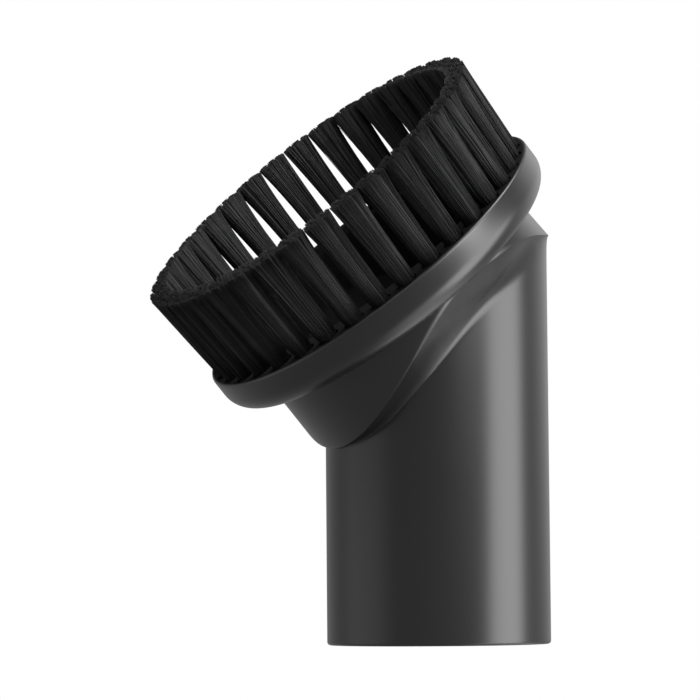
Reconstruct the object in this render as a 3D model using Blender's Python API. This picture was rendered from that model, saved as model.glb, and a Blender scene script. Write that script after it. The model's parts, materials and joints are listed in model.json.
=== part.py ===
"""Round dusting brush head for a vacuum cleaner, in metres, +Z up.

One moulding holds a slip-over socket at the bottom and a tilted round head on top.
A ring of bristle tufts is seated in blind holes in the head's rim.
The object stands on the socket's end, with the origin under the middle of its box.
"""
import math

import bmesh
import bpy
from mathutils import Matrix, Vector

# Socket that slips over the suction tube
SOCKET_BORE = 0.035
SOCKET_WALL = 0.0025
SOCKET_DEPTH = 0.030
BORE_TAPER = 0.0003
STOP_LEDGE = 0.0010
FOOT_ROUNDING = 0.0006
MOUTH_CHAMFER = 0.0004
NECK_LENGTH = 0.0348

# Head, measured along and across its own tilted axis
HEAD_TILT = math.radians(41.6)
CORNER_OVERHANG = 0.00094
DRUM_OFFSET = 0.0005
UPHILL_PINCH = 0.0010
PINCH_SHARPNESS = 4.0
HEAD_WALL = 0.0024
CAVITY_DRAFT = math.radians(3.0)
KEEL_RADIUS = 0.0365
UPHILL_RISE = 0.0018
RISE_START = 0.0056
RISE_LENGTH = 0.0140
NECK_FILLET = 0.0028
NECK_BLEND = 0.0045
BLEND_SHARPNESS = 1.7
KEEL_EDGE = 0.0005

# Collar that carries the bristles
COLLAR_OVERHANG = 0.0069
COLLAR_ROUNDING = 0.0040
COLLAR_DEPTH = 0.0074
COLLAR_FILLET = 0.0004
ARCH_MARGIN = 0.0001
LIP_ROUNDING = 0.0005

# Bristle tufts
TUFT_SPACING = 0.00557
TUFT_BASE_DIAMETER = 0.0035
TUFT_TIP_DEPTH = 0.0040
TUFT_TIP_GAP = 0.0003
BRISTLE_FREE_LENGTH = 0.0183
BRISTLE_FLARE = math.radians(2.6)
FIRST_TUFT_ANGLE = math.radians(0.8)
RIM_WALL = 0.00095
HOLE_FLOOR = 0.0024
TUFT_CLEARANCE = 0.0003
# How much of its fan a tuft has opened (second) at a share of its free length (first)
TUFT_FAN = ((0.0, 0.0), (0.4, 0.3), (0.75, 0.6), (1.0, 1.0))

# Limits of small roundings, as shares of the wall or face that holds them
LARGEST_ROUNDING = 0.9
LARGEST_FILLET = 0.5
LARGEST_EDGE = 0.4

# Facets
SIDES_AROUND = 96
TUFT_SIDES = 12
HOLE_SIDES = 12
ROUNDING_STEPS = 6
FILLET_STEPS = 4
EDGE_STEPS = 2
SHARP_EDGE = math.radians(35)
SOLVER_STEPS = 30
MERGE_DISTANCE = 1e-6

# Sizes that follow from the values above
TUBE_RADIUS = SOCKET_BORE / 2 + SOCKET_WALL
THROAT_RADIUS = SOCKET_BORE / 2 - BORE_TAPER - STOP_LEDGE
DRUM_RADIUS = (TUBE_RADIUS + CORNER_OVERHANG) / math.cos(HEAD_TILT)
HEAD_CENTRE_HEIGHT = NECK_LENGTH + (DRUM_RADIUS - DRUM_OFFSET) * math.sin(HEAD_TILT)

# The head's own directions: up its slope, and along its axis towards the bristles
SLOPE = Vector((math.cos(HEAD_TILT), 0.0, math.sin(HEAD_TILT)))
SIDE = Vector((0.0, 1.0, 0.0))
AXIS = Vector((-math.sin(HEAD_TILT), 0.0, math.cos(HEAD_TILT)))
HEAD_CENTRE = Vector((0.0, 0.0, HEAD_CENTRE_HEIGHT))


def keel_height(y):
    """Height of the barrel-shaped underside along the head's axis, at a sideways place y."""
    reach = min(abs(y), KEEL_RADIUS)
    return KEEL_RADIUS - math.sqrt(KEEL_RADIUS ** 2 - reach ** 2)


def underside_height(up, y):
    """Height of the outer underside, which lifts smoothly towards its uphill end."""
    share = min(max((up - RISE_START) / RISE_LENGTH, 0.0), 1.0)
    return keel_height(y) + UPHILL_RISE * share * share * (3 - 2 * share)


def floor_height(up, y):
    """Height of the cavity's floor, a wall above the barrel; it is the same all the way up."""
    return keel_height(y) + HEAD_WALL


COLLAR_RADIUS = DRUM_RADIUS + COLLAR_OVERHANG
COLLAR_UNDERSIDE = keel_height(DRUM_RADIUS) + ARCH_MARGIN + COLLAR_FILLET
LIP_HEIGHT = COLLAR_UNDERSIDE + COLLAR_DEPTH
HOLE_RADIUS = TUFT_BASE_DIAMETER / 2 + TUFT_CLEARANCE
HOLE_DEPTH = COLLAR_DEPTH - HOLE_FLOOR
TUFT_CIRCLE = COLLAR_RADIUS - RIM_WALL - HOLE_RADIUS
TUFT_COUNT = round(2 * math.pi * TUFT_CIRCLE / TUFT_SPACING)


def head_point(radius, angle, height):
    """World point from a radius, an angle and a height about the head's axis."""
    across = SLOPE * (radius * math.cos(angle)) + SIDE * (radius * math.sin(angle))
    return HEAD_CENTRE + across + AXIS * height


def tube_point(radius, angle, height):
    """World point from a radius, an angle and a height about the socket's axis."""
    return Vector((radius * math.cos(angle), radius * math.sin(angle), height))


def dropped_on(surface, point):
    """The point moved along the head's axis onto a surface given by its height."""
    offset = point - HEAD_CENTRE
    return point + AXIS * (surface(offset.dot(SLOPE), point.y) - offset.dot(AXIS))


def tube_meets(surface, radius, angle):
    """Point where a vertical line of the tube meets a surface given by its height."""
    x = radius * math.cos(angle)
    y = radius * math.sin(angle)
    rise = 0.0
    for _ in range(SOLVER_STEPS):
        up = x * math.cos(HEAD_TILT) + rise * math.sin(HEAD_TILT)
        rise = (surface(up, y) + x * math.sin(HEAD_TILT)) / math.cos(HEAD_TILT)
    return Vector((x, y, HEAD_CENTRE_HEIGHT + rise))


def arc(centre, radius, start, end, steps):
    """Points (radius, height) of an arc in the head's section, its ends included."""
    turns = [start + (end - start) * i / steps for i in range(steps + 1)]
    return [(centre[0] + radius * math.cos(a), centre[1] + radius * math.sin(a)) for a in turns]


def uphill(angle):
    """How far round towards the uphill side an angle lies, from 0 to 1."""
    return (1 + math.cos(angle)) / 2


def outer_profile(angle):
    """Section of the head's outside at one angle, from below the drum up to the lip."""
    rounding = min(COLLAR_ROUNDING, LARGEST_ROUNDING * COLLAR_OVERHANG)
    drum = DRUM_RADIUS + DRUM_OFFSET * math.cos(angle)
    neck = drum - UPHILL_PINCH * uphill(angle) ** PINCH_SHARPNESS
    points = [(drum, -DRUM_RADIUS), (drum, UPHILL_RISE)]
    inner = (neck + COLLAR_FILLET, COLLAR_UNDERSIDE - COLLAR_FILLET)
    points += arc(inner, COLLAR_FILLET, math.pi, math.pi / 2, EDGE_STEPS)
    turn = (COLLAR_RADIUS - rounding, COLLAR_UNDERSIDE + rounding)
    points += arc(turn, rounding, -math.pi / 2, 0.0, ROUNDING_STEPS)
    lip = (COLLAR_RADIUS - LIP_ROUNDING, LIP_HEIGHT - LIP_ROUNDING)
    points += arc(lip, LIP_ROUNDING, 0.0, math.pi / 2, EDGE_STEPS)
    return points


def crossing(profile, angle, surface):
    """Fractional place where a section first rises through a surface given by its height."""
    def depth(point):
        return point[1] - surface(point[0] * math.cos(angle), point[0] * math.sin(angle))

    for i in range(len(profile) - 1):
        low = depth(profile[i])
        high = depth(profile[i + 1])
        if low <= 0 < high:
            break
    start, end = 0.0, 1.0
    for _ in range(SOLVER_STEPS):
        middle = (start + end) / 2
        radius, height = on_profile(profile, i + middle)
        if depth((radius, height)) > 0:
            end = middle
        else:
            start = middle
    return i + end


def on_profile(profile, place):
    """Radius and height at a fractional place along a section."""
    i = min(int(place), len(profile) - 2)
    share = place - i
    (r0, h0), (r1, h1) = profile[i], profile[i + 1]
    return r0 + (r1 - r0) * share, h0 + (h1 - h0) * share


def foot_rings(angles):
    """Rings of the socket's end, from the bore's mouth out to the tube's wall."""
    edge = TUBE_RADIUS - FOOT_ROUNDING
    section = [(SOCKET_BORE / 2, MOUTH_CHAMFER), (SOCKET_BORE / 2 + MOUTH_CHAMFER, 0.0)]
    for step in range(EDGE_STEPS + 1):
        turn = math.pi / 2 * step / EDGE_STEPS
        lift = FOOT_ROUNDING * (1 - math.cos(turn))
        section.append((edge + FOOT_ROUNDING * math.sin(turn), lift))
    return [[tube_point(radius, a, height) for a in angles] for radius, height in section]


def neck_column(angle, seam):
    """Points up the fillet and the underside at one angle, from the tube to the seam edge."""
    corner = tube_meets(underside_height, TUBE_RADIUS, angle)
    width = (seam - corner).length
    reach = min(NECK_FILLET, LARGEST_FILLET * width)
    down = reach * (1 - uphill(angle)) + NECK_BLEND * uphill(angle) ** BLEND_SHARPNESS
    low = corner - Vector((0.0, 0.0, down))
    high = dropped_on(underside_height, corner.lerp(seam, reach / width))
    column = []
    for step in range(FILLET_STEPS + 1):
        t = step / FILLET_STEPS
        column.append(low * (1 - t) ** 2 + corner * (2 * t * (1 - t)) + high * t ** 2)
    edge = seam.lerp(high, min(LARGEST_EDGE, KEEL_EDGE / width))
    column.append(dropped_on(underside_height, (high + edge) / 2))
    column.append(dropped_on(underside_height, edge))
    return column


def outside_rings(angles):
    """Rings from the neck's fillet along the underside and up the head to its lip."""
    columns = []
    for angle in angles:
        profile = outer_profile(angle)
        place = crossing(profile, angle, underside_height)
        radius, height = on_profile(profile, place)
        column = neck_column(angle, head_point(radius, angle, height))
        span = math.dist(profile[int(place)], profile[int(place) + 1])
        start = min(place + KEEL_EDGE / max(span, KEEL_EDGE), int(place) + 1)
        for each in [start] + [max(i, start) for i in range(1, len(profile))]:
            radius, height = on_profile(profile, each)
            column.append(head_point(radius, angle, height))
        columns.append(column)
    return [list(ring) for ring in zip(*columns)]


def inside_rings(angles):
    """Rings from the lip's inner edge down the cavity, over its floor and down the socket."""
    cavity = DRUM_RADIUS - HEAD_WALL
    widening = (LIP_HEIGHT - keel_height(0.0)) * math.tan(CAVITY_DRAFT)
    section = [(cavity, -DRUM_RADIUS), (cavity, 0.0), (cavity + widening, LIP_HEIGHT)]
    columns = []
    for angle in angles:
        radius, height = on_profile(section, crossing(section, angle, floor_height))
        corner = head_point(radius, angle, height)
        throat = tube_meets(floor_height, THROAT_RADIUS, angle)
        middle = dropped_on(floor_height, (corner + throat) / 2)
        bottom = tube_point(THROAT_RADIUS, angle, SOCKET_DEPTH)
        stop = tube_point(SOCKET_BORE / 2 - BORE_TAPER, angle, SOCKET_DEPTH)
        lip = head_point(cavity + widening, angle, LIP_HEIGHT)
        columns.append([lip, corner, middle, throat, bottom, stop])
    return [list(ring) for ring in zip(*columns)]


def skin_rings(name, rings, material):
    """Closed body whose skin runs through all the rings and back to the first."""
    bm = bmesh.new()
    grid = [[bm.verts.new(point) for point in ring] for ring in rings]
    count = len(rings[0])
    for i, ring in enumerate(grid):
        above = grid[(i + 1) % len(grid)]
        for j in range(count):
            k = (j + 1) % count
            bm.faces.new((ring[j], ring[k], above[k], above[j]))
    bmesh.ops.remove_doubles(bm, verts=bm.verts, dist=MERGE_DISTANCE)
    bmesh.ops.dissolve_degenerate(bm, dist=MERGE_DISTANCE, edges=bm.edges)
    bmesh.ops.triangulate(bm, faces=bm.faces, quad_method="SHORT_EDGE")
    bmesh.ops.recalc_face_normals(bm, faces=bm.faces)
    return finish_object(name, bm, material)


def finish_object(name, bm, material):
    """New object from a bmesh, shaded smooth up to its real edges."""
    mesh = bpy.data.meshes.new(name)
    bm.to_mesh(mesh)
    bm.free()
    mesh.shade_smooth()
    mesh.set_sharp_from_angle(angle=SHARP_EDGE)
    mesh.materials.append(material)
    piece = bpy.data.objects.new(name, mesh)
    bpy.context.scene.collection.objects.link(piece)
    return piece


def plastic(name, colour, roughness):
    """Principled material of one moulded plastic."""
    material = bpy.data.materials.new(name)
    material.use_nodes = True
    shader = material.node_tree.nodes["Principled BSDF"]
    shader.inputs["Base Color"].default_value = (*colour, 1.0)
    shader.inputs["Roughness"].default_value = roughness
    shader.inputs["Metallic"].default_value = 0.0
    return material


def tuft_matrix(angle):
    """Place of a tuft: origin on the lip, local Z out along the bristles, local X outwards."""
    outward = SLOPE * math.cos(angle) + SIDE * math.sin(angle)
    along = AXIS * math.cos(BRISTLE_FLARE) + outward * math.sin(BRISTLE_FLARE)
    sideways = along.cross(outward).normalized()
    outward = sideways.cross(along)
    turn = Matrix((outward, sideways, along)).transposed().to_4x4()
    return Matrix.Translation(head_point(TUFT_CIRCLE, angle, LIP_HEIGHT)) @ turn


def oval(radius_out, radius_side, height, sides, lean=0.0):
    """Points of an oval cross-section of a tuft, its top tilted by lean."""
    points = []
    for i in range(sides):
        turn = 2 * math.pi * i / sides
        x = radius_out * math.cos(turn)
        points.append(Vector((x, radius_side * math.sin(turn), height - x * math.tan(lean))))
    return points


def tuft_mesh(material):
    """One bristle bundle: round where it sits in its hole, fanned out to a flat-cut oval tip."""
    tip_circle = TUFT_CIRCLE + BRISTLE_FREE_LENGTH * math.tan(BRISTLE_FLARE)
    tip_width = 2 * tip_circle * math.sin(math.pi / TUFT_COUNT) - TUFT_TIP_GAP
    root = TUFT_BASE_DIAMETER / 2
    rings = [oval(root, root, TUFT_CLEARANCE - HOLE_DEPTH, TUFT_SIDES)]
    length = BRISTLE_FREE_LENGTH / math.cos(BRISTLE_FLARE)
    for share, spread in TUFT_FAN:
        out = root + (TUFT_TIP_DEPTH / 2 - root) * spread
        side = root + (tip_width / 2 - root) * spread
        rings.append(oval(out, side, share * length, TUFT_SIDES, BRISTLE_FLARE * share))
    bm = bmesh.new()
    grid = [[bm.verts.new(point) for point in ring] for ring in rings]
    for low, high in zip(grid, grid[1:]):
        for j in range(TUFT_SIDES):
            k = (j + 1) % TUFT_SIDES
            bm.faces.new((low[j], low[k], high[k], high[j]))
    bm.faces.new(reversed(grid[0]))
    bm.faces.new(grid[-1])
    return finish_object("tuft_01", bm, material)


def make_tufts(material):
    """All bristle tufts, each its own object on the same mesh, evenly spaced round the rim."""
    first = tuft_mesh(material)
    tufts = [first]
    for number in range(2, TUFT_COUNT + 1):
        tuft = bpy.data.objects.new(f"tuft_{number:02d}", first.data)
        bpy.context.scene.collection.objects.link(tuft)
        tufts.append(tuft)
    for i, tuft in enumerate(tufts):
        tuft.matrix_world = tuft_matrix(FIRST_TUFT_ANGLE + 2 * math.pi * i / TUFT_COUNT)
    return tufts


def cut_tuft_holes(housing):
    """Blind round holes in the lip, one for each tuft, cut with a Boolean."""
    bm = bmesh.new()
    overshoot = 2 * TUFT_CLEARANCE
    depth = HOLE_DEPTH + overshoot
    for i in range(TUFT_COUNT):
        place = tuft_matrix(FIRST_TUFT_ANGLE + 2 * math.pi * i / TUFT_COUNT)
        middle = Matrix.Translation((0.0, 0.0, overshoot - depth / 2))
        bmesh.ops.create_cone(
            bm, cap_ends=True, segments=HOLE_SIDES, depth=depth,
            radius1=HOLE_RADIUS, radius2=HOLE_RADIUS, matrix=place @ middle)
    cutter = finish_object("tuft_hole_cutter", bm, housing.data.materials[0])
    cutter.hide_render = True
    cutter.display_type = "WIRE"
    cut = housing.modifiers.new("tuft_holes", "BOOLEAN")
    cut.operation = "DIFFERENCE"
    cut.solver = "EXACT"
    cut.object = cutter
    return cutter


def make_housing(material):
    """The one-piece moulding: socket tube, drum with a barrel-shaped underside, and collar."""
    angles = [2 * math.pi * (i + 0.5) / SIDES_AROUND for i in range(SIDES_AROUND)]
    rings = foot_rings(angles) + outside_rings(angles) + inside_rings(angles)
    return skin_rings("housing", rings, material)


def centre_on_box(pieces, others):
    """Hang all pieces on one empty that puts the middle of their box over the origin."""
    bpy.context.view_layer.update()
    corners = [piece.matrix_world @ Vector(corner) for piece in pieces for corner in piece.bound_box]
    xs = [corner.x for corner in corners]
    carrier = bpy.data.objects.new("brush_head", None)
    bpy.context.scene.collection.objects.link(carrier)
    for piece in pieces + others:
        piece.parent = carrier
    carrier.location = (-(min(xs) + max(xs)) / 2, 0.0, 0.0)


def main():
    """Build the brush head."""
    for item in list(bpy.data.objects):
        bpy.data.objects.remove(item)
    moulding = plastic("black_satin_plastic", (0.022, 0.022, 0.023), 0.38)
    bristle = plastic("black_bristle", (0.010, 0.010, 0.011), 0.45)
    housing = make_housing(moulding)
    cutter = cut_tuft_holes(housing)
    tufts = make_tufts(bristle)
    centre_on_box([housing] + tufts, [cutter])


main()
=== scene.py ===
"""Looks of a round dusting brush head: a satin black moulding and a ring of bristle tufts."""

import json
import logging
import math
from collections.abc import Callable
from dataclasses import dataclass
from enum import Enum

import bmesh
import bpy
import numpy as np
from mathutils import Matrix, Vector


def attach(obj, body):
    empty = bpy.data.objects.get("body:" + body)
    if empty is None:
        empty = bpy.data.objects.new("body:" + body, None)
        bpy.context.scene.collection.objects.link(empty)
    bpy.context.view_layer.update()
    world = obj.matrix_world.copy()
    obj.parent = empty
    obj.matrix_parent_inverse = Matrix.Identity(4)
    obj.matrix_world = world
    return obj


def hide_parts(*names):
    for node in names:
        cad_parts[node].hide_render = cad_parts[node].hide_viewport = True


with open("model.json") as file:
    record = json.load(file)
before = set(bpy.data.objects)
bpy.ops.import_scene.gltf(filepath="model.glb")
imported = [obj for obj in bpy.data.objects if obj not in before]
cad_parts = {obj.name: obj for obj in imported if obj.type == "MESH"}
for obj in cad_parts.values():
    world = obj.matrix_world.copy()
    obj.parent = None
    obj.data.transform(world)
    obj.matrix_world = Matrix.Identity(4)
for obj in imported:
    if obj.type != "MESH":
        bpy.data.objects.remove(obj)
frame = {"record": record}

LOG = logging.getLogger("brush_head")
BODY = "root"
MERGE_DISTANCE = 1e-6
SHARP_EDGE = math.radians(40)
SOLVER_STEPS = 40
GOLDEN_TURN = math.pi * (3 - math.sqrt(5))
UPWARDS = np.array([0.0, 0.0, 1.0])
WHITE = (1.0, 1.0, 1.0, 1.0)

# Heights along the head's axis, from distances up its slope and distances across it.
HeightField = Callable[[np.ndarray, np.ndarray], np.ndarray]
Socket = bpy.types.NodeSocket
Sockets = bpy.types.bpy_prop_collection
Value = float | tuple[float, ...] | Socket
Inputs = dict[str | int, Value]


class Slot(Enum):
    """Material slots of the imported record."""

    HOUSING = "housing_plastic"
    BRISTLE = "bristle"


class Turn(Enum):
    """Which way a quarter arc bends in a section of the head."""

    OUT_OF_WALL = (math.pi, math.pi / 2)
    UNDER_TO_SIDE = (-math.pi / 2, 0.0)
    SIDE_TO_LIP = (0.0, math.pi / 2)
    LIP_TO_INSIDE = (math.pi / 2, math.pi)


@dataclass(frozen=True)
class HeadForm:
    """Sizes of the moulding and of its tufts, and the tilted directions that they are measured in.

    The head has its own directions: up its slope, sideways, and along its axis towards the
    bristle tips. Angles run round an axis from the uphill side.
    """

    socket_axis: Vector
    tilt: float = math.radians(41.6)
    bore: float = 0.0175
    socket_wall: float = 0.0025
    socket_depth: float = 0.030
    bore_taper: float = 0.0003
    stop_ledge: float = 0.0010
    foot_rounding: float = 0.0006
    mouth_chamfer: float = 0.0004
    neck_length: float = 0.0348
    corner_overhang: float = 0.00094
    drum_offset: float = 0.0005
    uphill_pinch: float = 0.0010
    pinch_sharpness: float = 4.0
    head_wall: float = 0.0024
    cavity_draft: float = math.radians(3.0)
    keel_radius: float = 0.0365
    uphill_rise: float = 0.0018
    rise_start: float = 0.0056
    rise_length: float = 0.0140
    neck_fillet: float = 0.0028
    fillet_limit: float = 0.5
    narrow_underside: float = 0.0085
    wide_underside: float = 0.0120
    fillet_share: float = 0.9
    fillet_flatness: float = 0.7
    neck_blend: float = 0.0045
    blend_sharpness: float = 1.7
    keel_edge: float = 0.0009
    edge_limit: float = 0.4
    collar_overhang: float = 0.0069
    collar_rounding: float = 0.0040
    collar_depth: float = 0.0074
    collar_fillet: float = 0.0004
    arch_margin: float = 0.0001
    lip_rounding: float = 0.0005
    inner_rounding: float = 0.0004
    tufts: int = 36
    tuft_root: float = 0.00175
    tuft_clearance: float = 0.0003
    tip_depth: float = 0.0040
    tip_gap: float = 0.0003
    free_length: float = 0.0183
    flare: float = math.radians(2.6)
    first_tuft: float = math.radians(0.8)
    rim_wall: float = 0.00095
    hole_floor: float = 0.0024

    @property
    def tube(self) -> float:
        """Outer radius of the socket tube."""
        return self.bore + self.socket_wall

    @property
    def narrow_bore(self) -> float:
        """Radius of the bore at its stop ledge."""
        return self.bore - self.bore_taper

    @property
    def throat(self) -> float:
        """Radius of the passage above the stop ledge."""
        return self.narrow_bore - self.stop_ledge

    @property
    def drum(self) -> float:
        """Outer radius of the tilted drum."""
        return (self.tube + self.corner_overhang) / math.cos(self.tilt)

    @property
    def collar(self) -> float:
        """Outer radius of the bristle collar."""
        return self.drum + self.collar_overhang

    @property
    def collar_underside(self) -> float:
        """Height of the collar's underside on the head's axis."""
        return float(self.keel(self.drum)) + self.arch_margin + self.collar_fillet

    @property
    def lip(self) -> float:
        """Height of the collar's lip, which the tufts come out of."""
        return self.collar_underside + self.collar_depth

    @property
    def cavity_mouth(self) -> float:
        """Radius of the cavity at the lip, widened by its draft."""
        return self.drum - self.head_wall + self.lip * math.tan(self.cavity_draft)

    @property
    def hole(self) -> float:
        """Radius of a tuft's blind hole."""
        return self.tuft_root + self.tuft_clearance

    @property
    def hole_depth(self) -> float:
        """Depth of a tuft's blind hole below the lip."""
        return self.collar_depth - self.hole_floor

    @property
    def tuft_circle(self) -> float:
        """Radius of the circle that the tufts' middles stand on."""
        return self.collar - self.rim_wall - self.hole

    @property
    def pitch(self) -> float:
        """Angle from one tuft to the next."""
        return 2 * math.pi / self.tufts

    @property
    def tip_width(self) -> float:
        """Width of a fanned tuft at its tip, round the ring."""
        circle = self.tuft_circle + self.free_length * math.tan(self.flare)
        return 2 * circle * math.sin(self.pitch / 2) - self.tip_gap

    @property
    def slope(self) -> np.ndarray:
        """Direction up the head's slope."""
        return np.array([math.cos(self.tilt), 0.0, math.sin(self.tilt)])

    @property
    def side(self) -> np.ndarray:
        """Direction across the head, level with the floor."""
        return np.array([0.0, 1.0, 0.0])

    @property
    def axis(self) -> np.ndarray:
        """Direction along the head's axis, towards the bristle tips."""
        return np.array([-math.sin(self.tilt), 0.0, math.cos(self.tilt)])

    @property
    def centre(self) -> np.ndarray:
        """Where the head's axis crosses the socket's axis."""
        height = self.neck_length + (self.drum - self.drum_offset) * math.sin(self.tilt)
        return np.array([self.socket_axis.x, self.socket_axis.y, height])

    def keel(self, across: np.ndarray) -> np.ndarray:
        """Height of the barrel-shaped underside: a circle of the keel's radius that touches zero."""
        reach = np.minimum(np.abs(across), self.keel_radius)
        return self.keel_radius - np.sqrt(self.keel_radius ** 2 - reach ** 2)

    def underside(self, up: np.ndarray, across: np.ndarray) -> np.ndarray:
        """Height of the outer underside: the keel, plus a smooth step towards its uphill end."""
        share = np.clip((up - self.rise_start) / self.rise_length, 0.0, 1.0)
        return self.keel(across) + self.uphill_rise * share ** 2 * (3 - 2 * share)

    def floor(self, up: np.ndarray, across: np.ndarray) -> np.ndarray:
        """Height of the cavity's floor: the keel plus a wall, the same all the way up the slope."""
        return self.keel(across) + self.head_wall

    def uphill(self, angles: np.ndarray) -> np.ndarray:
        """How far round towards the uphill side each angle lies, from 0 to 1."""
        return (1 + np.cos(angles)) / 2

    def head_points(self, radius: np.ndarray, angles: np.ndarray, height: np.ndarray) -> np.ndarray:
        """Points about the head's axis: centre + radius round the axis + height along it.

        Args:
            radius: Distances from the head's axis.
            angles: Angles round it from the uphill side.
            height: Distances along it.

        Returns:
            World points, one for each angle.
        """
        radius, angles, height = np.broadcast_arrays(radius, angles, height)
        across = (radius * np.cos(angles))[..., None] * self.slope
        across = across + (radius * np.sin(angles))[..., None] * self.side
        return self.centre + across + height[..., None] * self.axis

    def tube_points(self, radius: float, angles: np.ndarray, height: float) -> np.ndarray:
        """Points about the socket's vertical axis, at angles round it from the uphill side."""
        places = np.array(self.socket_axis.xy) + radius * on_circle(angles)
        return np.c_[places, np.full(len(angles), height)]

    def dropped(self, surface: HeightField, points: np.ndarray) -> np.ndarray:
        """World points moved along the head's axis until they lie on a surface.

        Args:
            surface: The surface's heights.
            points: The points to move.

        Returns:
            The moved points.
        """
        offset = points - self.centre
        gap = surface(offset @ self.slope, offset @ self.side) - offset @ self.axis
        return points + gap[..., None] * self.axis

    def tube_meets(self, surface: HeightField, radius: float, angles: np.ndarray) -> np.ndarray:
        """Points where vertical lines of the tube meet a surface, by repeated substitution.

        Args:
            surface: The surface's heights.
            radius: Radius of the tube.
            angles: Angles round it from the uphill side.

        Returns:
            World points, one for each angle.
        """
        x = radius * np.cos(angles)
        y = radius * np.sin(angles)
        rise = np.zeros_like(x)
        for _ in range(SOLVER_STEPS):
            up = x * math.cos(self.tilt) + rise * math.sin(self.tilt)
            rise = (surface(up, y) + x * math.sin(self.tilt)) / math.cos(self.tilt)
        points = self.tube_points(radius, angles, self.centre[2])
        points[:, 2] += rise
        return points

    def drum_wall(self, angles: np.ndarray, height: np.ndarray) -> np.ndarray:
        """Radius of the drum's wall: a shifted circle, pinched in a little on its uphill side.

        Args:
            angles: Angles round the head's axis.
            height: Heights along it.

        Returns:
            Radii, one for each angle.
        """
        low = self.drum + self.drum_offset * np.cos(angles)
        pinch = self.uphill_pinch * self.uphill(angles) ** self.pinch_sharpness
        top = self.collar_underside - self.collar_fillet
        share = np.clip((height - self.uphill_rise) / (top - self.uphill_rise), 0.0, 1.0)
        return low - pinch * share

    def seam_heights(self, angles: np.ndarray) -> np.ndarray:
        """Heights where the drum's wall meets the underside, by repeated substitution.

        Args:
            angles: Angles round the head's axis.

        Returns:
            Heights along it, one for each angle.
        """
        height = np.zeros_like(angles)
        for _ in range(SOLVER_STEPS):
            radius = self.drum_wall(angles, height)
            height = self.underside(radius * np.cos(angles), radius * np.sin(angles))
        return height


def steps_between(start: np.ndarray, end: np.ndarray, steps: int) -> list[np.ndarray]:
    """Values at even steps from a start to an end, both included."""
    return [start + (end - start) * t for t in np.linspace(0.0, 1.0, steps + 1)]


def quadratic(start: np.ndarray, control: np.ndarray, end: np.ndarray, steps: int) -> list[np.ndarray]:
    """Rings along the curve start(1-t)^2 + 2 control t(1-t) + end t^2, both ends included."""
    shares = np.linspace(0.0, 1.0, steps + 1)
    return [start * (1 - t) ** 2 + control * 2 * t * (1 - t) + end * t ** 2 for t in shares]


def on_circle(turns: np.ndarray) -> np.ndarray:
    """Points of the unit circle at the given angles."""
    return np.stack([np.cos(turns), np.sin(turns)], axis=-1)


def even_turns(count: int) -> np.ndarray:
    """Angles of a full turn in even steps."""
    return 2 * math.pi * np.arange(count) / count


def grid_quads(rows: int, columns: int, offset: int = 0) -> np.ndarray:
    """Faces of a grid whose rows are closed rings: each point with the next and the row above.

    Args:
        rows: Number of rings.
        columns: Points in a ring.
        offset: Index of the grid's first point.

    Returns:
        Four point indices for each face.
    """
    row, column = np.meshgrid(np.arange(rows - 1), np.arange(columns), indexing="ij")
    following = (column + 1) % columns
    corners = [
        row * columns + column,
        row * columns + following,
        (row + 1) * columns + following,
        (row + 1) * columns + column,
    ]
    return offset + np.stack(corners, axis=-1).reshape(-1, 4)


def tube_faces(rings: int, sides: int, starts: np.ndarray) -> list[list[int]]:
    """Faces of closed tubes: quads between their rings, a foot and a cap.

    Args:
        rings: Number of rings in a tube.
        sides: Points in a ring.
        starts: Index of each tube's first point.

    Returns:
        Point indices of each face, which all point outwards.
    """
    quads = np.concatenate([grid_quads(rings, sides, start) for start in starts])
    column = np.arange(sides)
    foot = starts[:, None] + -column % sides
    cap = starts[:, None] + (rings - 1) * sides + (column - 1) % sides
    return quads.tolist() + foot.tolist() + cap.tolist()


def new_object(name: str, points: np.ndarray, faces: list[list[int]]) -> bpy.types.Object:
    """New mesh object at the origin, in the scene, shaded smooth.

    Args:
        name: Name of the object and of its mesh.
        points: World points.
        faces: Point indices of each face.

    Returns:
        The object.
    """
    mesh = bpy.data.meshes.new(name)
    mesh.from_pydata(points.reshape(-1, 3).tolist(), [], faces)
    mesh.shade_smooth()
    piece = bpy.data.objects.new(name, mesh)
    bpy.context.scene.collection.objects.link(piece)
    return piece


def sew(piece: bpy.types.Object) -> None:
    """Merge the points that a piece's patches share and turn its faces outwards.

    Args:
        piece: The piece, whose mesh is changed.
    """
    bm = bmesh.new()
    bm.from_mesh(piece.data)
    bmesh.ops.remove_doubles(bm, verts=bm.verts, dist=MERGE_DISTANCE)
    bmesh.ops.dissolve_degenerate(bm, dist=MERGE_DISTANCE, edges=bm.edges)
    bmesh.ops.recalc_face_normals(bm, faces=bm.faces)
    bm.to_mesh(piece.data)
    bm.free()
    piece.data.shade_smooth()
    piece.data.set_sharp_from_angle(angle=SHARP_EDGE)


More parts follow.
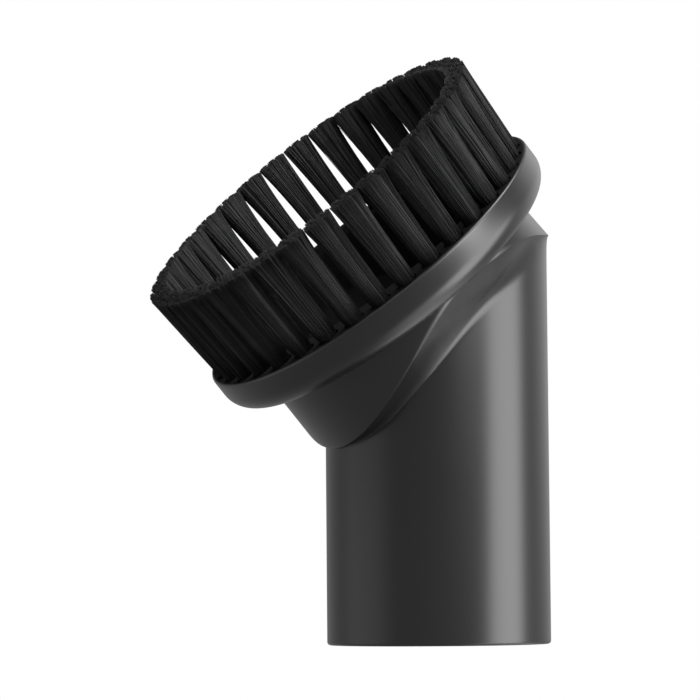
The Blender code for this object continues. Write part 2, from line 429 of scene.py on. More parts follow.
class NodeSheet:
    """Places nodes in a node tree and joins them, so that a finish reads as a list of steps."""

    # Numbers of a Mix node's factor, its two colours and its mixed colour: their names aren't unique.
    COLOUR_INPUTS = (0, 6, 7)
    COLOUR_OUTPUT = 2

    def __init__(self, tree: bpy.types.NodeTree) -> None:
        """Work on one tree, which is emptied first."""
        self.tree = tree
        tree.nodes.clear()

    @classmethod
    def for_group(cls, name: str, inputs: dict[str, str],
                  outputs: dict[str, str]) -> tuple["NodeSheet", Sockets, Sockets]:
        """Start a new node group.

        Args:
            name: Its name.
            inputs: Kind of each input, by name.
            outputs: Kind of each output, by name.

        Returns:
            The group's sheet, the values that it is given, and the sockets that take its results.
        """
        sheet = cls(bpy.data.node_groups.new(name, "ShaderNodeTree"))
        for in_out, sockets in (("INPUT", inputs), ("OUTPUT", outputs)):
            for socket, kind in sockets.items():
                sheet.tree.interface.new_socket(name=socket, in_out=in_out, socket_type=f"NodeSocket{kind}")
        return sheet, sheet.add("NodeGroupInput").outputs, sheet.add("NodeGroupOutput").inputs

    def add(self, kind: str, values: Inputs | None = None, **settings: object) -> bpy.types.Node:
        """Add a node, set its properties, and then link or set its inputs.

        Args:
            kind: Blender's name of the node's type.
            values: Source or plain value of each input, by its name or number.
            settings: Value of each property, by its name.

        Returns:
            The node.
        """
        node = self.tree.nodes.new(kind)
        for name, setting in settings.items():
            setattr(node, name, setting)
        for place, value in (values or {}).items():
            self.link(value, node.inputs[place])
        return node

    def link(self, source: Value, target: Socket) -> None:
        """Join an output to an input, or set the input to a plain value.

        Args:
            source: The output or the value.
            target: The input.
        """
        if isinstance(source, Socket):
            self.tree.links.new(source, target)
        else:
            target.default_value = source

    def maths(self, operation: str, *values: Value) -> Socket:
        """Add a Math node, with values in the operation's own order, and give its output."""
        return self.add("ShaderNodeMath", dict(enumerate(values)), operation=operation).outputs[0]

    def noise(self, place: Socket, scale: Value, detail: float) -> Socket:
        """Add a Noise texture (bumps per metre, number of finer layers) and give its value."""
        values = {"Vector": place, "Scale": scale, "Detail": detail}
        return self.add("ShaderNodeTexNoise", values).outputs["Fac"]

    def blend(self, factor: Value, first: Value, second: Value) -> Socket:
        """Add a Mix node from a first colour (factor 0) to a second one, and give its colour."""
        values = dict(zip(self.COLOUR_INPUTS, (factor, first, second)))
        return self.add("ShaderNodeMix", values, data_type="RGBA").outputs[self.COLOUR_OUTPUT]


class Moulded:
    """Node group shared by all finishes: fine tool grain and slow changes of shade and gloss."""

    NAME = "moulded_surface"
    INPUTS = {"Place": "Vector", "Dark": "Color", "Light": "Color", "Gloss Low": "Float",
              "Gloss High": "Float", "Grain Scale": "Float", "Cloud Scale": "Float"}
    OUTPUTS = {"Color": "Color", "Roughness": "Float", "Height": "Float"}
    GRAIN_DETAIL = 2.0
    CLOUD_DETAIL = 3.0

    @classmethod
    def group(cls) -> bpy.types.NodeTree:
        """Build the group once.

        The cloud mixes the two shades, and the mean of grain and cloud sets the gloss.

        Returns:
            The node group, with inputs for its scales and amounts.
        """
        found = bpy.data.node_groups.get(cls.NAME)
        if found:
            return found
        sheet, given, result = NodeSheet.for_group(cls.NAME, cls.INPUTS, cls.OUTPUTS)
        grain = sheet.noise(given["Place"], given["Grain Scale"], cls.GRAIN_DETAIL)
        cloud = sheet.noise(given["Place"], given["Cloud Scale"], cls.CLOUD_DETAIL)
        mean = sheet.maths("MULTIPLY", sheet.maths("ADD", grain, cloud), 0.5)
        span = sheet.maths("SUBTRACT", given["Gloss High"], given["Gloss Low"])
        gloss = sheet.maths("ADD", given["Gloss Low"], sheet.maths("MULTIPLY", mean, span))
        sheet.link(sheet.blend(cloud, given["Dark"], given["Light"]), result["Color"])
        sheet.link(gloss, result["Roughness"])
        sheet.link(grain, result["Height"])
        return sheet.tree


@dataclass(frozen=True)
class Finish:
    """A moulded or drawn plastic: its two shades, its range of gloss and its grain."""

    name: str
    dark: tuple[float, float, float]
    light: tuple[float, float, float]
    gloss_low: float
    gloss_high: float
    grain_scale: float
    cloud_scale: float
    grain_depth: float
    reflection: float = 0.5

    def build(self) -> bpy.types.Material:
        """Make the material.

        Returns:
            A Principled material on Object coordinates.
        """
        material = bpy.data.materials.new(self.name)
        material.use_nodes = True
        sheet = NodeSheet(material.node_tree)
        place = sheet.add("ShaderNodeTexCoord").outputs["Object"]
        given = (place, (*self.dark, 1.0), (*self.light, 1.0), self.gloss_low, self.gloss_high,
                 self.grain_scale, self.cloud_scale)
        values = dict(zip(Moulded.INPUTS, given))
        surface = sheet.add("ShaderNodeGroup", values, node_tree=Moulded.group()).outputs
        bump = sheet.add("ShaderNodeBump", {"Distance": self.grain_depth, "Height": surface["Height"]})
        shader = sheet.add("ShaderNodeBsdfPrincipled", {
            "Base Color": self.colour(sheet, surface["Color"]),
            "Roughness": surface["Roughness"],
            "Normal": bump.outputs["Normal"],
            "Specular IOR Level": self.reflection,
        })
        sheet.add("ShaderNodeOutputMaterial", {"Surface": shader.outputs["BSDF"]})
        return material

    def colour(self, sheet: NodeSheet, moulded: Socket) -> Socket:
        """The output for the base colour, which is the moulded shade as it is."""
        return moulded


@dataclass(frozen=True)
class FilamentFinish(Finish):
    """A bundle's filaments: each has its own shade value, read from the piece's own attribute, which holds a
    random tone and painted light.
    """

    # The pale colour that the painted highlight streaks and the painted light on the inner side mix towards.
    pale: tuple[float, float, float] = (0.060, 0.060, 0.061)
    attribute: str = "shade"

    def colour(self, sheet: NodeSheet, moulded: Socket) -> Socket:
        """The moulded shade mixed with the pale one by each filament's value of random tone and painted
        light.
        """
        own = sheet.add("ShaderNodeAttribute", attribute_name=self.attribute).outputs["Fac"]
        return sheet.blend(own, moulded, (*self.pale, 1.0))


@dataclass(frozen=True)
class Housing:
    """The one-piece moulding: socket tube, tilted drum with a barrel underside, and collar."""

    form: HeadForm
    steps_per_tuft: int = 12
    side_steps: int = 8
    fillet_steps: int = 16
    underside_steps: int = 14
    edge_steps: int = 6
    rounding_steps: int = 18
    wall_steps: int = 6
    corner_steps: int = 4
    support_gap: float = 0.0004
    hole_chamfer: float = 0.00008
    patch_shares: tuple[float, ...] = (0.0, 0.35, 0.7, 1.0)

    @property
    def angles(self) -> np.ndarray:
        """Angles round the axis, with the same number of steps in each tuft's share."""
        form = self.form
        return form.first_tuft - form.pitch / 2 + even_turns(form.tufts * self.steps_per_tuft)

    def section_rings(self, section: list[tuple[float, float]]) -> list[np.ndarray]:
        """Rings about the socket's axis, one for each (radius, height) of a section."""
        return [self.form.tube_points(radius, self.angles, height) for radius, height in section]

    def foot(self) -> list[np.ndarray]:
        """Rings of the socket's end: a chamfered mouth, a flat foot and a rounded outer edge.

        Returns:
            The rings, from the bore's mouth out to the tube's wall.
        """
        form = self.form
        section = [(form.bore, form.mouth_chamfer), (form.bore + form.mouth_chamfer, 0.0)]
        turns = np.linspace(0.0, math.pi / 2, self.corner_steps + 1)
        radii = form.tube - form.foot_rounding + form.foot_rounding * np.sin(turns)
        heights = form.foot_rounding * (1 - np.cos(turns))
        return self.section_rings(section + list(zip(radii, heights)))

    def neck(self) -> list[np.ndarray]:
        """Rings up the neck: its fillet, the underside and the rounded seam edge on the drum.

        The fillet is a quadratic curve from the tube to the underside, bent towards the corner
        where they would meet. Uphill it is a long blend down the tube. Downhill, where the
        underside is narrow, it takes nearly all of it and is almost a flat chamfer. A support
        ring just below the fillet keeps its shading off the rest of the tube.

        Returns:
            The rings, from the tube to just above the seam.
        """
        form = self.form
        angles = self.angles
        uphill = form.uphill(angles)
        corner = form.tube_meets(form.underside, form.tube, angles)
        heights = form.seam_heights(angles)
        seam = form.head_points(form.drum_wall(angles, heights), angles, heights)
        width = np.linalg.norm(seam - corner, axis=-1)
        reach = np.minimum(form.neck_fillet, form.fillet_limit * width)
        down = reach * (1 - uphill) + form.neck_blend * uphill ** form.blend_sharpness
        low = corner - down[:, None] * UPWARDS
        span = form.wide_underside - form.narrow_underside
        narrow = np.clip((form.wide_underside - width) / span, 0, 1)
        share = (narrow * form.fillet_share + (1 - narrow) * reach / width)[:, None]
        high = form.dropped(form.underside, corner + (seam - corner) * share)
        flat = (narrow * (1 - uphill) * form.fillet_flatness)[:, None]
        control = corner * (1 - flat) + (low + high) / 2 * flat
        rings = [low - self.support_gap * UPWARDS] + quadratic(low, control, high, self.fillet_steps)
        back = np.minimum(form.edge_limit, form.keel_edge / width)[:, None]
        edge = form.dropped(form.underside, seam + (high - seam) * back)
        for ring in steps_between(high, edge, self.underside_steps)[1:-1]:
            rings.append(form.dropped(form.underside, ring))
        top = form.collar_underside - form.collar_fillet
        above = np.minimum(heights + form.keel_edge, top)
        wall = form.head_points(form.drum_wall(angles, above), angles, above)
        return rings + quadratic(edge, seam, wall, self.edge_steps)

    def arc(self, radius: np.ndarray | float, height: float, rounding: float, turn: Turn,
            steps: int) -> list[np.ndarray]:
        """Rings of a quarter arc in the head's section.

        Args:
            radius: Distance of the arc's centre from the head's axis, or one for each angle.
            height: Height of the arc's centre.
            rounding: Radius of the arc.
            turn: Which quarter it runs through.
            steps: Number of steps in it.

        Returns:
            The rings, both ends included.
        """
        rings = []
        for angle in np.linspace(*turn.value, steps + 1):
            away = radius + rounding * math.cos(angle)
            rings.append(self.form.head_points(away, self.angles, height + rounding * math.sin(angle)))
        return rings

    def collar(self) -> list[np.ndarray]:
        """Rings up the drum's wall and round the collar to the flat of its lip.

        Returns:
            The rings, from just above the seam to the lip's outer edge.
        """
        form = self.form
        angles = self.angles
        top = form.collar_underside - form.collar_fillet
        start = np.minimum(form.seam_heights(angles) + form.keel_edge, top)
        rings = []
        for height in steps_between(start, top, self.wall_steps)[1:-1]:
            rings.append(form.head_points(form.drum_wall(angles, height), angles, height))
        neck = form.drum_wall(angles, np.full_like(angles, top))
        rings += self.arc(neck + form.collar_fillet, top, form.collar_fillet, Turn.OUT_OF_WALL,
                          self.corner_steps)
        rounding = form.collar_rounding
        rings += self.arc(form.collar - rounding, form.collar_underside + rounding, rounding,
                          Turn.UNDER_TO_SIDE, self.rounding_steps)
        edge = form.lip_rounding
        rings += self.arc(form.collar - edge, form.lip - edge, edge, Turn.SIDE_TO_LIP, self.corner_steps)
        return rings

    def inside(self) -> list[np.ndarray]:
        """Rings of the inside: cavity wall, sloping floor, throat, stop ledge and bore.

        Returns:
            The rings, from the lip's inner edge to the bore's mouth.
        """
        form = self.form
        angles = self.angles
        edge = form.inner_rounding
        rings = self.arc(form.cavity_mouth + edge, form.lip - edge, edge, Turn.LIP_TO_INSIDE,
                         self.corner_steps)
        cavity = form.drum - form.head_wall
        height = form.floor(np.zeros_like(angles), cavity * np.sin(angles))
        corner = form.head_points(cavity, angles, height)
        rings += steps_between(rings[-1], corner, self.wall_steps)[1:]
        throat = form.tube_meets(form.floor, form.throat, angles)
        for ring in steps_between(corner, throat, self.underside_steps)[1:]:
            rings.append(form.dropped(form.floor, ring))
        rings += self.section_rings([
            (form.throat, form.socket_depth),
            (form.narrow_bore, form.socket_depth),
            (form.bore, form.mouth_chamfer),
        ])
        return rings

    def lip_patch(self) -> tuple[np.ndarray, np.ndarray, np.ndarray]:
        """The lip's flat face with its blind holes, as one patch for each tuft.

        A patch runs from its four-sided outline to the hole's circle along straight lines
        through the hole's middle, then down the hole's chamfer and wall to its floor.

        Returns:
            Points of all patches, their quads, and the floor polygon of each hole.
        """
        form = self.form
        inner = form.cavity_mouth + form.inner_rounding
        outer = form.collar - form.lip_rounding
        turns = form.pitch * np.linspace(-0.5, 0.5, self.steps_per_tuft + 1)
        sides = np.linspace(inner, outer, self.side_steps + 1)[1:-1]
        half = form.pitch / 2
        radius = np.concatenate([np.full_like(turns, inner), sides, np.full_like(turns, outer), sides[::-1]])
        angle = np.concatenate([turns, np.full_like(sides, half), turns[::-1], np.full_like(sides, -half)])
        outline = np.stack([radius * np.cos(angle) - form.tuft_circle, radius * np.sin(angle)], axis=-1)
        towards = outline / np.linalg.norm(outline, axis=-1, keepdims=True)
        rim = towards * (form.hole + self.hole_chamfer)
        flat = [outline * (1 - t) + rim * t for t in self.patch_shares]
        sunk = [self.hole_chamfer, form.hole_depth / 2, form.hole_depth]
        depths = [0.0] * len(flat) + sunk
        local = flat + [towards * form.hole] * len(sunk)
        local = np.stack([np.c_[xy, np.full(len(xy), -d)] for xy, d in zip(local, depths)])
        local[..., 0] += local[..., 2] * math.tan(form.flare)
        out = form.tuft_circle + local[..., 0]
        around = form.first_tuft + form.pitch * np.arange(form.tufts)
        turned = around[:, None, None] + np.arctan2(local[..., 1], out)
        points = form.head_points(np.hypot(out, local[..., 1]), turned, form.lip + local[..., 2])
        rows, columns = local.shape[:2]
        size = rows * columns
        starts = size * np.arange(form.tufts)
        quads = np.concatenate([grid_quads(rows, columns, start) for start in starts])
        floors = starts[:, None] + size - columns + np.arange(columns)
        return points.reshape(-1, 3), quads, floors

    def make(self, finish: Finish, inside_finish: Finish) -> bpy.types.Object:
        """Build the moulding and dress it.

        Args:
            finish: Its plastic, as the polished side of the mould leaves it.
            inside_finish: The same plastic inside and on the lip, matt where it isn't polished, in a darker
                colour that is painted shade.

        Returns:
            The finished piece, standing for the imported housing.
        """
        outside = np.stack(self.foot() + self.neck() + self.collar())
        inside = np.stack(self.inside())
        patch, patch_quads, floors = self.lip_patch()
        count = len(self.angles)
        first = len(outside) * count
        second = first + len(inside) * count
        seen = grid_quads(len(outside), count).tolist()
        hidden = grid_quads(len(inside), count, first).tolist()
        hidden += (patch_quads + second).tolist() + (floors + second).tolist()
        points = np.concatenate([outside.reshape(-1, 3), inside.reshape(-1, 3), patch])
        piece = new_object("moulding", points, seen + hidden)
        piece.data.materials.append(finish.build())
        piece.data.materials.append(inside_finish.build())
        piece.data.polygons.foreach_set("material_index", np.repeat([0, 1], [len(seen), len(hidden)]))
        sew(piece)
        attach(piece, BODY)
        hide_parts("housing")
        LOG.info("moulding: %d faces", len(piece.data.polygons))
        return piece


@dataclass(frozen=True)
class BristleRing:
    """The ring of tufts: each is a bundle of fine filaments round a dark, closely packed core.

    A bundle fans out from its round foot to a flat-cut tip with a squarer outline, and its
    filaments lean together in clumps. Their colour holds painted highlight and shade streaks by
    clump, painted shade at the root and the tip, and painted light on the ring's inner side.
    """

    form: HeadForm
    filaments: int = 330
    filament_radius: float = 0.00008
    filament_sides: int = 3
    tip_shrink: float = 0.45
    shoulder: float = 0.5
    root_noise: float = 0.02
    outer_clumps: int = 9
    clump_circle: float = 0.70
    clump_noise: float = 0.12
    clumping: float = 0.42
    least_clumping: float = 0.6
    squareness: float = 2.8
    fill: float = 90.0
    core_share: float = 0.88
    core_sides: int = 20
    core_shortfall: float = 0.00035
    foot_fan: float = 0.19
    foot_share: float = 0.08
    fan_power: float = 2.3
    stray: float = 0.00004
    bow: float = 0.00008
    shortfall: float = 0.00010
    shortfall_power: int = 2
    corner_shortfall: float = 0.00018
    corner_power: int = 4
    # Painted light in the filaments' colour: a painted highlight, mid or shade streak for each clump, weaker
    # painted streaks on the outer side of the ring and painted light on its inner side. Each filament adds a
    # random tone of its own, and the core has a plain tone.
    clump_painted_streaks: tuple[float, ...] = (1.0, 0.10, 0.45)
    own_shade: float = 0.2
    core_shade: float = 0.12
    outer_painted_streak_level: float = 0.42
    inner_painted_light_level: float = 0.85
    # Painted shade along the length: darkest at the root and in the hole, full painted light from a third of
    # the way up, dimmer towards the tip.
    painted_shade_along_length: tuple[tuple[float, ...], tuple[float, ...]] = ((0.0, 0.08, 0.3, 0.85, 1.0),
                                                           (0.0, 0.0, 1.0, 0.85, 0.35))
    stations: tuple[float, ...] = (0.0, 0.08, 0.3, 0.5, 0.68, 0.85, 1.0)
    seed: int = 20

    def spread(self, share: np.ndarray) -> np.ndarray:
        """How far a bundle has fanned out: a little just above its hole, and ever faster to its tip."""
        foot = self.foot_fan * np.minimum(share / self.foot_share, 1.0)
        return foot + (1 - self.foot_fan) * share ** self.fan_power

    def squared(self, places: np.ndarray) -> np.ndarray:
        """Places of the unit circle pushed straight out towards a rounded square of the same width.

        Args:
            places: Two coordinates of each place.

        Returns:
            Two coordinates of each pushed place.
        """
        away = np.linalg.norm(places, axis=-1, keepdims=True)
        power = (np.abs(places) ** self.squareness).sum(axis=-1, keepdims=True)
        return places * away / power ** (1 / self.squareness)

    def roots(self, rng: np.random.Generator) -> np.ndarray:
        """Places of the filaments in the unit circle, on a sunflower spiral with a little noise.

        Args:
            rng: Source of the noise.

        Returns:
            Two coordinates for each filament.
        """
        number = np.arange(self.filaments)
        radius = np.sqrt((number + 0.5) / self.filaments)
        turn = number * GOLDEN_TURN + rng.uniform(0, 2 * math.pi)
        places = radius[:, None] * on_circle(turn)
        return places * (1 + rng.normal(0, self.root_noise, (self.filaments, 1)))

    def clump_middles(self, rng: np.random.Generator) -> np.ndarray:
        """Places in the unit circle that the filaments gather towards: a ring and its middle.

        Args:
            rng: Source of the ring's turn and of its irregularity.

        Returns:
            Two coordinates of each clump.
        """
        turns = even_turns(self.outer_clumps) + 2 * math.pi * rng.uniform() / self.outer_clumps
        turns = turns + rng.normal(0, self.clump_noise, self.outer_clumps)
        return np.concatenate([self.clump_circle * on_circle(turns), np.zeros((1, 2))])

    def fanned(self, root: np.ndarray, tip: np.ndarray, shortfall: np.ndarray) -> np.ndarray:
        """Lines from root places to tip places, cut off flat at right angles to the head's axis.

        Args:
            root: Two coordinates of each line at the lip.
            tip: Two coordinates of each line at its end.
            shortfall: How far each line stops short of the full length.

        Returns:
            Points (line, station, outwards/sideways/along), the first one down in the hole.
        """
        form = self.form
        share = np.array(self.stations)
        spread = self.spread(share)[None, :, None]
        across = root[:, None] * (1 - spread) + tip[:, None] * spread
        length = form.free_length / math.cos(form.flare) - shortfall
        along = (length[:, None] - across[..., 0] * math.tan(form.flare)) * share
        points = np.concatenate([across, along[..., None]], axis=-1)
        foot = np.full((len(root), 1), form.tuft_clearance - form.hole_depth)
        sunk = np.concatenate([root, foot], axis=-1)
        return np.concatenate([sunk[:, None], points], axis=1)

    def paths(self, rng: np.random.Generator) -> tuple[np.ndarray, np.ndarray]:
        """Middle lines of one tuft's filaments in the tuft's own directions.

        Tips gather towards the nearest of a few clump middles, and each filament bows a little
        between its root and its tip. Each clump gets a painted highlight, mid or shade streak, with a
        little random tone for each filament. The outer side of the ring has weaker painted streaks, and
        the inner side gets painted light, so its filaments are the palest.

        Args:
            rng: Source of the bundle's irregularity.

        Returns:
            Points (filament, station, outwards/sideways/along) and a shade value for each filament: its
            random tone with painted light.
        """
        form = self.form
        unit = self.roots(rng)
        middles = self.clump_middles(rng)
        nearest = np.linalg.norm(unit[:, None] - middles[None], axis=-1).argmin(axis=1)
        pull = self.clumping * rng.uniform(self.least_clumping, 1.0, (self.filaments, 1))
        gathered = unit + (middles[nearest] - unit) * pull
        gathered /= np.linalg.norm(gathered, axis=-1).max()
        root = (unit + gathered) / 2 * (form.tuft_root - self.filament_radius)
        outline = self.squared(gathered)
        outline = np.clip(outline / np.percentile(np.abs(outline), self.fill, axis=0), -1.0, 1.0)
        half = np.array([form.tip_depth / 2, form.tip_width / 2]) - self.filament_radius
        tip = outline * half + rng.normal(0, self.stray, (self.filaments, 2))
        short = self.shortfall * rng.uniform(0, 1, self.filaments) ** self.shortfall_power
        short = short + self.corner_shortfall * np.abs(outline[:, 1]) ** self.corner_power
        points = self.fanned(root, tip, short)
        bend = rng.normal(0, self.bow, (self.filaments, 1, 2))
        points[:, 1:, :2] += bend * np.sin(math.pi * np.array(self.stations))[None, :, None]
        # Painted highlight, mid and shade streaks, one for each clump in a repeating order.
        pattern = np.roll(self.clump_painted_streaks, rng.integers(len(self.clump_painted_streaks)))
        clump_painted_streak = np.resize(pattern, len(middles))[nearest]
        own = rng.uniform(0, 1, self.filaments)
        # The outer side of the ring gets weaker painted streaks, and the inner side painted light that makes
        # it the palest.
        shade = self.outer_painted_streak_level * ((1 - self.own_shade) * clump_painted_streak + self.own_shade * own)
        inner = np.clip(-outline[:, 0], 0, 1)
        return points, shade + (self.inner_painted_light_level - shade) * inner

    def tubes(self, lines: np.ndarray) -> tuple[np.ndarray, list[list[int]]]:
        """Closed round tubes along lines: a small circle at each station, the last one shrunk.

        Args:
            lines: Points (filament, station, coordinate) in the tuft's own directions.

        Returns:
            Points (filament, ring, side, coordinate) and the faces.
        """
        circle = np.pad(on_circle(even_turns(self.filament_sides)), ((0, 0), (0, 1)))
        end = lines[:, -1:]
        shoulder = end - self.filament_radius * self.shoulder * UPWARDS
        lines = np.concatenate([lines[:, :-1], shoulder, end], axis=1)
        radius = np.full(lines.shape[1], self.filament_radius)
        radius[-1] *= self.tip_shrink
        points = lines[:, :, None] + radius[None, :, None, None] * circle[None, None]
        size = points.shape[1] * points.shape[2]
        return points, tube_faces(*points.shape[1:3], size * np.arange(len(lines)))

    def core(self, offset: int) -> tuple[np.ndarray, list[list[int]]]:
        """Closed body inside a bundle, which stands for its closely packed inner filaments.

        Args:
            offset: Index of its first point.

        Returns:
            Points (ring, side, outwards/sideways/along) and the faces.
        """
        form = self.form
        circle = on_circle(-even_turns(self.core_sides)) * self.core_share
        half = np.array([form.tip_depth / 2, form.tip_width / 2])
        short = np.full(self.core_sides, self.core_shortfall + self.corner_shortfall)
        points = self.fanned(circle * form.tuft_root, self.squared(circle) * half, short)
        points = points.transpose(1, 0, 2)
        # Its rings run clockwise, so each face keeps its first corner and takes the others in reverse.
        faces = tube_faces(*points.shape[:2], np.array([offset]))
        return points, [face[:1] + face[:0:-1] for face in faces]

    def make(self, finish: FilamentFinish) -> list[bpy.types.Object]:
        """Build all tufts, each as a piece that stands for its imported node.

        Args:
            finish: The filaments' plastic.

        Returns:
            The finished pieces.
        """
        form = self.form
        material = finish.build()
        # Painted shade by ring: darkest in the hole and at the root, dimmer at the tip, darkest on the cut
        # end.
        painted_shade_by_ring = np.interp((0.0, *self.stations, 1.0), *self.painted_shade_along_length)
        painted_shade_by_ring[-1] = 0.0
        pieces = []
        for number in range(form.tufts):
            rng = np.random.default_rng(self.seed + number)
            angle = form.first_tuft + form.pitch * number
            out = form.slope * math.cos(angle) + form.side * math.sin(angle)
            sideways = form.side * math.cos(angle) - form.slope * math.sin(angle)
            along = form.axis * math.cos(form.flare) + out * math.sin(form.flare)
            directions = np.stack([np.cross(sideways, along), sideways, along])
            lines, shade = self.paths(rng)
            tubes, faces = self.tubes(lines)
            core, core_faces = self.core(tubes.size // 3)
            local = np.concatenate([tubes.reshape(-1, 3), core.reshape(-1, 3)])
            middle = form.head_points(form.tuft_circle, np.array(angle), np.array(form.lip))
            points = middle + local @ directions
            piece = new_object(f"bristles_{number + 1:02d}", points, faces + core_faces)
            values = piece.data.attributes.new(finish.attribute, "FLOAT", "POINT")
            per_ring = shade[:, None, None] * painted_shade_by_ring[None, :, None]
            # The core takes the same painted shade along its length.
            inner = np.repeat(self.core_shade * painted_shade_by_ring[:-1], self.core_sides)
            tone_and_painted_light_by_point = np.concatenate([np.broadcast_to(per_ring, tubes.shape[:3]).ravel(), inner])
            values.data.foreach_set("value", tone_and_painted_light_by_point.astype(np.float32))
            piece.data.materials.append(material)
            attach(piece, BODY)
            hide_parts(f"tuft_{number + 1:02d}")
            pieces.append(piece)
        LOG.info("bristles: %d tufts of %d filaments", len(pieces), self.filaments)
        return pieces


@dataclass(frozen=True)
class SoftWindow:
    """A soft-edged patch in the studio's surroundings, given by its directions in degrees.

    A positive radiance makes it a light, and a negative one a dark card that takes light away.
    """

    name: str
    azimuth: float
    half_width: float
    elevation: float
    half_height: float
    edge: float
    radiance: float

    GROUP = "soft_window"
    INPUTS = ("Azimuth", "Elevation", "Centre Azimuth", "Half Width", "Centre Elevation", "Half Height",
              "Edge", "Radiance")

    @classmethod
    def group(cls) -> bpy.types.NodeTree:
        """Build the group that all windows share, once.

        The light is the radiance times a smooth step over the edge, in azimuth and in elevation.

        Returns:
            The node group, from a direction's azimuth and elevation to its light.
        """
        found = bpy.data.node_groups.get(cls.GROUP)
        if found:
            return found
        inputs = dict.fromkeys(cls.INPUTS, "Float")
        sheet, given, result = NodeSheet.for_group(cls.GROUP, inputs, {"Light": "Float"})
        aside = sheet.maths("SUBTRACT", given["Azimuth"], given["Centre Azimuth"])
        wrapped = sheet.maths("WRAP", aside, 180.0, -180.0)
        above = sheet.maths("SUBTRACT", given["Elevation"], given["Centre Elevation"])
        across = cls.step(sheet, wrapped, given["Half Width"], given["Edge"])
        upright = cls.step(sheet, above, given["Half Height"], given["Edge"])
        light = sheet.maths("MULTIPLY", sheet.maths("MULTIPLY", across, upright), given["Radiance"])
        sheet.link(light, result["Light"])
        return sheet.tree

    @staticmethod
    def step(sheet: NodeSheet, offset: Socket, half: Socket, edge: Socket) -> Socket:
        """Add a smooth step from 1 inside a half width to 0 outside it.

        Args:
            sheet: Where the nodes go.
            offset: Signed distance from the middle.
            half: Half width, measured to the middle of the edge.
            edge: Width of the step.

        Returns:
            The step's value, as an output.
        """
        inside = sheet.maths("SUBTRACT", half, sheet.maths("ABSOLUTE", offset))
        share = sheet.maths("ADD", sheet.maths("DIVIDE", inside, edge), 0.5)
        step = sheet.add("ShaderNodeMapRange", {"Value": share}, interpolation_type="SMOOTHSTEP")
        return step.outputs["Result"]

    def add(self, sheet: NodeSheet, azimuth: Socket, elevation: Socket) -> Socket:
        """Add this window to the surroundings.

        Args:
            sheet: The world's nodes.
            azimuth: Azimuth of the direction that is looked up.
            elevation: Its elevation.

        Returns:
            The window's light in that direction, as an output.
        """
        given = (azimuth, elevation, self.azimuth, self.half_width, self.elevation, self.half_height,
                 self.edge, self.radiance)
        values = dict(zip(self.INPUTS, given))
        node = sheet.add("ShaderNodeGroup", values, node_tree=self.group(), label=self.name)
        return node.outputs["Light"]


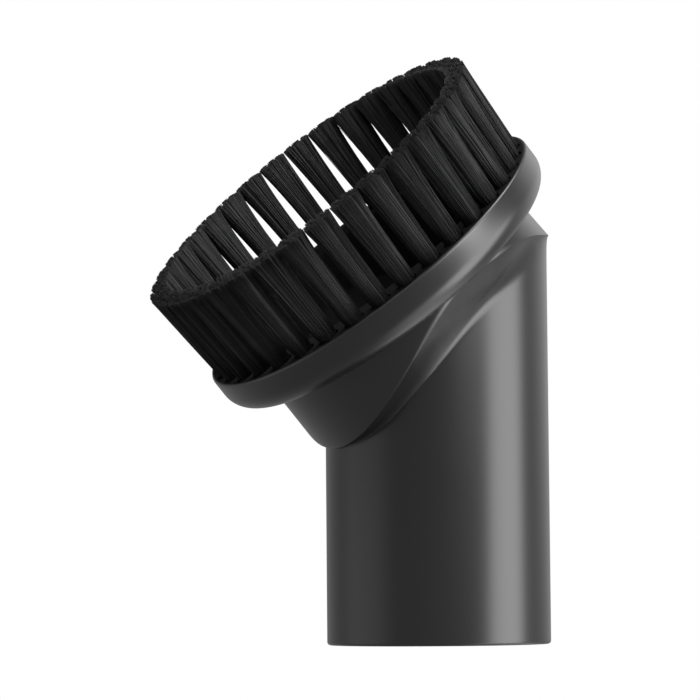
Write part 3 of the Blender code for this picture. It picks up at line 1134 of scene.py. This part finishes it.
@dataclass(frozen=True)
class Studio:
    """Pale floor, soft lights and the camera at the photograph's viewing angle.

    Azimuths are in degrees round the object: 0 looks along +Y, and they grow towards +X.
    """

    form: HeadForm
    camera_azimuth: float = -26.78
    camera_elevation: float = -4.06
    camera_roll: float = -0.46
    camera_distance: float = 0.600
    target_right: float = -0.01551
    target_height: float = 0.05288
    pixels_per_metre: float = 5560.0
    picture_width: int = 700
    sensor_width: float = 36.0
    nearest: float = 0.01
    farthest: float = 20.0
    floor_size: float = 6.0
    white: float = 1.0
    room: float = 0.39
    windows: tuple[SoftWindow, ...] = (
        SoftWindow("key_right", 46.5, 20.0, -6.0, 24.5, 11.0, 6.3),
        SoftWindow("key_high", 15.0, 20.0, 30.0, 14.5, 20.0, 12.9),
        SoftWindow("fill_high_left", -70.0, 25.0, 45.0, 15.0, 20.0, 1.2),
        SoftWindow("panel_back", 115.0, 25.0, 27.0, 25.0, 30.0, 0.90),
        SoftWindow("flag_behind", 172.0, 36.0, 30.0, 16.0, 16.0, -0.32),
        SoftWindow("ceiling", 0.0, 200.0, 90.0, 20.0, 20.0, 7.7),
        SoftWindow("table_bounce", 66.0, 50.0, -45.0, 15.0, 25.0, 1.9),
        SoftWindow("panel_left", -110.0, 25.0, -13.0, 20.0, 25.0, 0.57),
    )

    def camera(self) -> bpy.types.Object:
        """Camera fitted to the photograph: turned, rolled a little and moved back from its target.

        Returns:
            The camera object, set as the scene's camera.
        """
        azimuth = math.radians(self.camera_azimuth)
        upward = math.pi / 2 - math.radians(self.camera_elevation)
        roll = math.radians(self.camera_roll)
        turn = (Matrix.Rotation(azimuth, 4, "Z") @ Matrix.Rotation(upward, 4, "X")
                @ Matrix.Rotation(roll, 4, "Z"))
        right = Vector((math.cos(azimuth), math.sin(azimuth), 0.0))
        target = self.form.socket_axis + right * self.target_right
        target.z = self.target_height
        data = bpy.data.cameras.new("camera")
        focal_pixels = self.pixels_per_metre * self.camera_distance
        data.sensor_width = self.sensor_width
        data.lens = focal_pixels / self.picture_width * self.sensor_width
        data.clip_start = self.nearest
        data.clip_end = self.farthest
        camera = bpy.data.objects.new("camera", data)
        back = Matrix.Translation((0.0, 0.0, self.camera_distance))
        camera.matrix_world = Matrix.Translation(target) @ turn @ back
        bpy.context.scene.collection.objects.link(camera)
        bpy.context.scene.camera = camera
        return camera

    def floor(self) -> bpy.types.Object:
        """Plain white floor for the camera, which lets the table's light through to the object.

        Returns:
            The floor object.
        """
        corners = np.array([[-1, -1, 0], [1, -1, 0], [1, 1, 0], [-1, 1, 0]]) * self.floor_size / 2
        floor = new_object("floor", corners, [[0, 1, 2, 3]])
        material = bpy.data.materials.new("light_table")
        material.use_nodes = True
        sheet = NodeSheet(material.node_tree)
        self.white_for_camera(sheet, sheet.add("ShaderNodeBsdfTransparent"), "ShaderNodeEmission",
                              "ShaderNodeOutputMaterial")
        floor.data.materials.append(material)
        return floor

    def white_for_camera(self, sheet: NodeSheet, other: bpy.types.Node, kind: str, output: str) -> None:
        """Show plain white to the camera and another shader to all other rays.

        Args:
            sheet: Where the nodes go.
            other: Node of the other shader.
            kind: Blender's name of the node that gives the white.
            output: Blender's name of the tree's output node.
        """
        white = sheet.add(kind, {"Color": WHITE, "Strength": self.white})
        camera = sheet.add("ShaderNodeLightPath").outputs["Is Camera Ray"]
        mix = sheet.add("ShaderNodeMixShader", {0: camera, 1: other.outputs[0], 2: white.outputs[0]})
        sheet.add(output, {"Surface": mix.outputs[0]})

    def world(self) -> None:
        """White for the camera, and an even room with soft windows for everything that it lights."""
        world = bpy.data.worlds.new("studio")
        bpy.context.scene.world = world
        world.use_nodes = True
        sheet = NodeSheet(world.node_tree)
        direction = sheet.add("ShaderNodeTexCoord").outputs["Generated"]
        parts = sheet.add("ShaderNodeSeparateXYZ", {0: direction}).outputs
        towards_viewer = sheet.maths("MULTIPLY", parts["Y"], -1.0)
        azimuth = sheet.maths("DEGREES", sheet.maths("ARCTAN2", parts["X"], towards_viewer))
        elevation = sheet.maths("DEGREES", sheet.maths("ARCSINE", parts["Z"]))
        light: Value = self.room
        for window in self.windows:
            light = sheet.maths("ADD", light, window.add(sheet, azimuth, elevation))
        room = sheet.add("ShaderNodeBackground", {"Color": WHITE, "Strength": light})
        self.white_for_camera(sheet, room, "ShaderNodeBackground", "ShaderNodeOutputWorld")

    def make(self) -> None:
        """Set up the camera, the floor and the surroundings."""
        bpy.context.scene.view_settings.view_transform = "Standard"
        self.camera()
        self.floor()
        self.world()
        LOG.info("studio: %d soft windows", len(self.windows))


MOUNT_RADIUS = 0.01865

SATIN_BLACK = Finish(
    name="satin_black_plastic",
    dark=(0.0052, 0.0052, 0.0054),
    light=(0.0068, 0.0068, 0.0070),
    gloss_low=0.28,
    gloss_high=0.32,
    grain_scale=2600.0,
    cloud_scale=60.0,
    grain_depth=0.000004,
)

# Matt inside and on the lip; its colour, darker than the satin outside, is painted shade of the cavity and
# of the lip between the tufts.
MATT_BLACK_PAINTED_SHADE = Finish(
    name="matt_black_inside_painted_shade",
    dark=(0.0032, 0.0032, 0.0033),
    light=(0.0048, 0.0048, 0.0049),
    gloss_low=0.74,
    gloss_high=0.84,
    grain_scale=1800.0,
    cloud_scale=60.0,
    grain_depth=0.000006,
    reflection=0.07,
)

BLACK_NYLON = FilamentFinish(
    name="black_nylon_bristle",
    dark=(0.005, 0.005, 0.0052),
    light=(0.009, 0.009, 0.0093),
    gloss_low=0.50,
    gloss_high=0.62,
    grain_scale=1800.0,
    cloud_scale=220.0,
    grain_depth=0.000002,
    reflection=0.11,
)


def socket_axis() -> Vector:
    """Foot of the socket's axis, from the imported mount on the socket's end."""
    mount = frame["record"]["mounts"][0]["pos_m"]
    return Vector((mount[0] - MOUNT_RADIUS, mount[1], mount[2]))


def main() -> None:
    """Build and dress every piece in order, then the studio."""
    logging.basicConfig(level=logging.INFO, format="%(name)s: %(message)s")
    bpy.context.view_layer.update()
    form = HeadForm(socket_axis=socket_axis())
    Housing(form).make(SATIN_BLACK, MATT_BLACK_PAINTED_SHADE)
    BristleRing(form).make(BLACK_NYLON)
    Studio(form).make()


if __name__ == "__main__":
    main()
